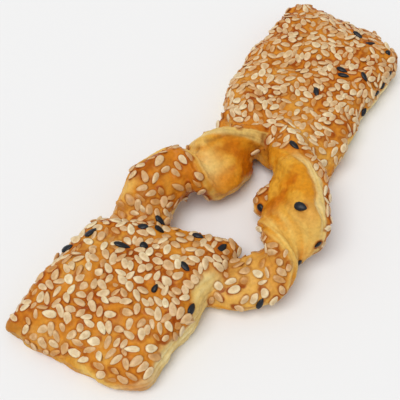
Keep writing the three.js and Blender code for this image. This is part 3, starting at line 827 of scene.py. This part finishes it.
def laid_seeds(points, outward, heading, random):
    """Middles, axes and sizes of seeds on the crust, and how far each is sunk in the wash, from 0 to 1: the
    drowned ones deep and the rest little. Each is tilted by a random slope, has its own size, and lies along
    the heading laid flat on it. They are largest at the near end and smallest at the far end."""
    tilted = unit(outward + SEED_TILT * random.normal(size=outward.shape))
    forward = unit(heading - (heading * tilted).sum(1, keepdims=True) * tilted)
    farness = smoothstep(points[:, 0], *SEED_GROWTH_RUN)
    growth = NEAR_SEED_GROWTH + (FAR_SEED_GROWTH - NEAR_SEED_GROWTH) * farness
    sizes = SEED_SIZE * growth[:, None] * random.normal(1, SEED_SPREAD, points.shape)
    drowned = random.uniform(size=len(points)) < DROWNED_SHARE
    sunk = np.where(drowned, random.beta(3, 1.5, len(points)), random.beta(1, 2.8, len(points)))
    middles = points + (SEED_LIFT - SEED_SINKING * sunk[:, None]) * outward
    return middles, tilted, forward, sizes, sunk


def add_seeds(name, points, outward, forward, sizes, material, tones):
    """A mesh of seeds in one object, with each seed's tone and each point's place on its seed stored."""
    shell, faces, from_crown = seed_shells(points, outward, forward, sizes)
    shell[:, 2] = np.maximum(shell[:, 2], 0)
    mesh = mesh_from(name, shell, faces)
    put_attribute(mesh, "tone", np.repeat(tones, len(shell) // len(points)))
    put_attribute(mesh, "from_crown", from_crown)
    add_piece(mesh, material)


random = np.random.default_rng(895)
crust_tree = BVHTree.FromObject(dough, bpy.context.evaluated_depsgraph_get())
camera_metres = Vector((CAMERA_PLACE - STICK_MIDDLE) * MM)
black_places = np.array(BLACK_PIXELS, float)
rays = picture_rays(black_places[:, :2])
hits = [crust_tree.ray_cast(camera_metres, Vector(ray)) for ray in rays]
on_crust = np.array([hit[0] is not None for hit in hits])
rays, slants = rays[on_crust], np.radians(black_places[on_crust, 2:3])
black_points = np.array([hit[0] for hit in hits if hit[0] is not None]) / MM + STICK_MIDDLE
black_faces = [list(dough_mesh.polygons[hit[2]].vertices) for hit in hits if hit[0] is not None]
black_outward = unit(np.array([soft_facing[face].mean(0) for face in black_faces]))
slanted = np.cos(slants) * rightward + np.sin(slants) * picture_up
toward = (slanted * black_outward).sum(1, keepdims=True) / (rays * black_outward).sum(1, keepdims=True)
black_heading = unit(slanted - rays * np.clip(toward, -STEEPEST_HEADING, STEEPEST_HEADING))
black_points, black_outward, black_forward, black_sizes, black_sunk = laid_seeds(
    black_points, black_outward, black_heading, random
)
black_sizes *= BLACK_GROWTH
black_sizes[:, 0] *= black_places[on_crust, 3]
black_points += BLACK_LIFT * black_outward * (1 + black_sunk[:, None])

# Unhulled black sesame: a dull blue-black coat with a soft sheen, darker or greyer from seed to seed.
black_coat, black_shader = new_material("black_sesame_hull")
coat = mixed(black_coat, stored(black_coat, "tone"), colour("#0F1014"), colour("#1C1F26"))
black_coat.node_tree.links.new(coat, black_shader.inputs["Base Color"])
black_shader.inputs["Roughness"].default_value = 0.38
black_shader.inputs["Specular IOR Level"].default_value = 0.3
add_seeds(
    "black_sesame", black_points, black_outward, black_forward, black_sizes, black_coat,
    random.uniform(0, 1, len(black_points)),
)

# White sesame seeds: hulled, thrown on the wet egg wash before baking, so they lie flat and stick half sunk.
# They lie closest beside the hole and on the far plate, where they overlap, and thinnest on the two bands.
WHITE_TRIES, SEEDS_AT_ONCE = 12000, 500
SEEDS_PER_MM2 = dict(near_end=0.24, near_hole=0.42, far=0.39, left=0.1, right=0.135)
CLOSENESS = dict(near_end=0.72, near_hole=0.6, far=0.6, left=0.95, right=0.82)
CLOSING_UP_RUN = (-66, -46)
LEFT_THINNING_RUN = (18, 25)
LOWEST_SEED = 1.8
ROUND_SHIFT, LONGEST_SEED = 0.22, 1.3
towards_hole = smoothstep(dough_points[:, 0], *CLOSING_UP_RUN)


def by_place(values):
    """A value for each point of the crust, from the values of the parts of the stick. On the near plate it
    goes from the free end's to the hole's, and on the left band from the near plate's to the band's own."""
    near = values["near_end"] + (values["near_hole"] - values["near_end"]) * towards_hole
    left = near + (values["left"] - near) * smoothstep(from_near, *LEFT_THINNING_RUN)
    return np.choose(owner, [near, values["far"], left, values["right"], values["right"]])


def seeds_apart(points, forward, sizes, closeness, held):
    """Which seeds to keep, in order, so that none crosses an earlier one. Each counts as two rounds of its
    width times the closeness, set along its length; the first ones, as many as are held, are kept anyway."""
    later, earlier = [], []
    for chunk in np.array_split(np.arange(len(points)), 1 + len(points) // SEEDS_AT_ONCE):
        gaps = np.linalg.norm(points[chunk, None] - points[None], axis=-1)
        rows, columns = np.nonzero(gaps < LONGEST_SEED * SEED_SIZE[0])
        ordered = columns < chunk[rows]
        later.append(chunk[rows][ordered])
        earlier.append(columns[ordered])
    later, earlier = np.concatenate(later), np.concatenate(earlier)
    rounds = points[:, None] + ROUND_SHIFT * sizes[:, :1, None] * forward[:, None] * np.array([[-1], [1]])
    apart = np.linalg.norm(rounds[later][:, :, None] - rounds[earlier][:, None], axis=-1).min((1, 2))
    room = closeness[later] * (sizes[later, 1] + sizes[earlier, 1]) / 2
    later, earlier = later[apart < room], earlier[apart < room]
    firsts = np.searchsorted(later, np.arange(len(points) + 1))
    kept = np.zeros(len(points), bool)
    for seed in range(len(points)):
        kept[seed] = seed < held or not kept[earlier[firsts[seed]:firsts[seed + 1]]].any()
    return kept


dough_mesh.calc_loop_triangles()
corners = mesh_array(dough_mesh.loop_triangles, "vertices", 3, np.int32)
first, second, third = (dough_points[corners[:, k]] for k in range(3))
triangle_area = np.linalg.norm(np.cross(second - first, third - first), axis=1) / 2
density = by_place(SEEDS_PER_MM2) * smoothstep(seeded, 0.5, 0.8) * (1 - flap)
density *= dough_points[:, 2] > LOWEST_SEED
weight = triangle_area * density[corners].mean(1)
picked = random.choice(len(corners), WHITE_TRIES, p=weight / weight.sum())
mix = random.dirichlet((1, 1, 1), WHITE_TRIES)
tried_points = np.einsum("nk,nkc->nc", mix, dough_points[corners[picked]])
tried_outward = unit(np.einsum("nk,nkc->nc", mix, soft_facing[corners[picked]]))
tried_heading = random.normal(size=tried_points.shape)
tried_points, tried_outward, tried_forward, tried_sizes, tried_sunk = laid_seeds(
    tried_points, tried_outward, tried_heading, random
)
held = len(black_points)
closeness = np.concatenate([np.ones(held), by_place(CLOSENESS)[corners[picked, 0]]])
seed_points = np.vstack([black_points, tried_points])
seed_outward = np.vstack([black_outward, tried_outward])
seed_forward = np.vstack([black_forward, tried_forward])
seed_sizes = np.vstack([black_sizes, tried_sizes])
seed_sunk = np.concatenate([black_sunk, tried_sunk])
kept = seeds_apart(seed_points, seed_forward, seed_sizes, closeness, held)
kept = np.nonzero(kept)[0][:held + int(weight.sum())]
seed_points, seed_outward, seed_forward, seed_sizes, seed_sunk = (
    values[kept] for values in (seed_points, seed_outward, seed_forward, seed_sizes, seed_sunk)
)

# Hulled sesame, lightly toasted: a creamy skin, browner at the crown and from seed to seed, amber at the foot
# and on the sunk seeds where the wash has crept up, and faintly streaked.
STREAK_SIZE = 0.7
hulled, hulled_shader = new_material("toasted_hulled_sesame")
tone, from_crown = stored(hulled, "tone"), stored(hulled, "from_crown")
body = mixed(hulled, tone, colour("#ECDBB2"), colour("#CA8C40"))
crown = mixed(hulled, tone, colour("#D3B88C"), colour("#B47838"))
crown_share = mapped(hulled, from_crown, (0, 0.25), (0.85, 0))
crowned = mixed(hulled, crown_share, body, crown)
foot_share = mapped(hulled, from_crown, (0.65, 1), (0, 0.75))
footed = mixed(hulled, foot_share, crowned, colour("#B5702A"))
streak_light = mapped(hulled, fine_noise(hulled, STREAK_SIZE, 2), (0.3, 0.7), (0.86, 1.06))
streaked = mixed(hulled, 1, footed, streak_light, "MULTIPLY")
hulled.node_tree.links.new(streaked, hulled_shader.inputs["Base Color"])
hulled_shader.inputs["Roughness"].default_value = 0.38
hulled_shader.inputs["Specular IOR Level"].default_value = 0.4

# Most seeds stay pale. Those sunk in the wash, or on the left band or the far plate, are browner.
LEFT_BROWNING, FAR_BROWNING, SUNK_BROWNING = 0.15, 0.08, 0.7
white_owner = owner[corners[picked[kept[held:] - held], 0]]
white_tones = random.beta(1.3, 3.6, len(kept) - held) + SUNK_BROWNING * seed_sunk[held:] ** 1.5
white_tones += LEFT_BROWNING * (white_owner == LEFT) + FAR_BROWNING * (white_owner == FAR)
add_seeds(
    "white_sesame", seed_points[held:], seed_outward[held:], seed_forward[held:], seed_sizes[held:], hulled,
    np.clip(white_tones, 0, 1),
)

# The egg wash round the seeds: brushed on before they are thrown, it creeps up to each seed's foot in a thin
# rim. The red-brown ring painted there in patches is partly wash burnt in the rim and partly painted contact
# shade. The crust's mesh is then thinned, which keeps its relief.
POOL_WIDTH, POOL_HEIGHT = 0.3, 0.2
SEED_CORE, SEED_ROUND = 0.24, 0.42
NEIGHBOUR_REACH, STRIPS = 4, 150
CRUST_TRIANGLES = 195000
burnt_ring_and_shade = np.zeros(len(dough_points))
pool_rim = np.zeros(len(dough_points))
in_order = np.argsort(dough_points[:, 0])
for chunk in np.array_split(in_order, STRIPS):
    low, high = dough_points[chunk[[0, -1]], 0]
    close = (seed_points[:, 0] > low - NEIGHBOUR_REACH) & (seed_points[:, 0] < high + NEIGHBOUR_REACH)
    if close.any():
        offset = dough_points[chunk, None] - seed_points[close]
        reach = SEED_CORE * seed_sizes[close, 0]
        along = np.clip((offset * seed_forward[close]).sum(-1), -reach, reach)
        aside = np.linalg.norm(offset - along[..., None] * seed_forward[close], axis=-1)
        gap = (aside - SEED_ROUND * seed_sizes[close, 1]).min(1)
        burnt_ring_and_shade[chunk] = np.exp(-((np.maximum(gap, 0) / POOL_WIDTH) ** 2))
        pool_rim[chunk] = np.exp(-((gap / POOL_WIDTH) ** 2))
dough_points += POOL_HEIGHT * pool_rim[:, None] * facing
put_vertices(dough_mesh, dough_points)
# The ring's share, patchy: burnt wash, and painted contact shade round each seed.
put_attribute(dough_mesh, "burnt_wash_and_shade", burnt_ring_and_shade * np.clip(0.55 + 0.4 * patches + 0.4 * flecks, 0.15, 0.95))
thinning = dough.modifiers.new("fewer_faces", "DECIMATE")
thinning.ratio = CRUST_TRIANGLES / len(corners)

# The floor and the light: a plain pale matt floor under the stick, a bright even dome of light all round and
# one broad soft light from above.
FLOOR_HALF = 10.0
DOME_STRENGTH = 0.56
LAMP_STRENGTH, LAMP_SPREAD, LAMP_PLACE = 1.75, np.radians(40), (-0.28, 0.06, 0.7)
floor_mesh = bpy.data.meshes.new("floor")
floor_corners = [(FLOOR_HALF * x, FLOOR_HALF * y, 0) for x, y in ((-1, -1), (1, -1), (1, 1), (-1, 1))]
floor_mesh.from_pydata(floor_corners, [], [(0, 1, 2, 3)])
floor = bpy.data.objects.new("floor", floor_mesh)
bpy.context.scene.collection.objects.link(floor)
paint, paint_shader = new_material("pale_studio_floor")
paint_shader.inputs["Base Color"].default_value = colour("#EBEBEB")
paint_shader.inputs["Roughness"].default_value = 0.9
floor_mesh.materials.append(paint)

world = bpy.data.worlds.new("studio")
bpy.context.scene.world = world
world.use_nodes = True
world.node_tree.nodes["Background"].inputs["Color"].default_value = colour("#FFFFFF")
world.node_tree.nodes["Background"].inputs["Strength"].default_value = DOME_STRENGTH
lamp_data = bpy.data.lights.new("soft_light", "SUN")
lamp_data.energy = LAMP_STRENGTH
lamp_data.angle = LAMP_SPREAD
lamp = bpy.data.objects.new("soft_light", lamp_data)
lamp.location = LAMP_PLACE
lamp.rotation_euler = Vector(lamp.location).to_track_quat("Z", "Y").to_euler()
bpy.context.scene.collection.objects.link(lamp)
bpy.context.scene.view_settings.view_transform = "Standard"
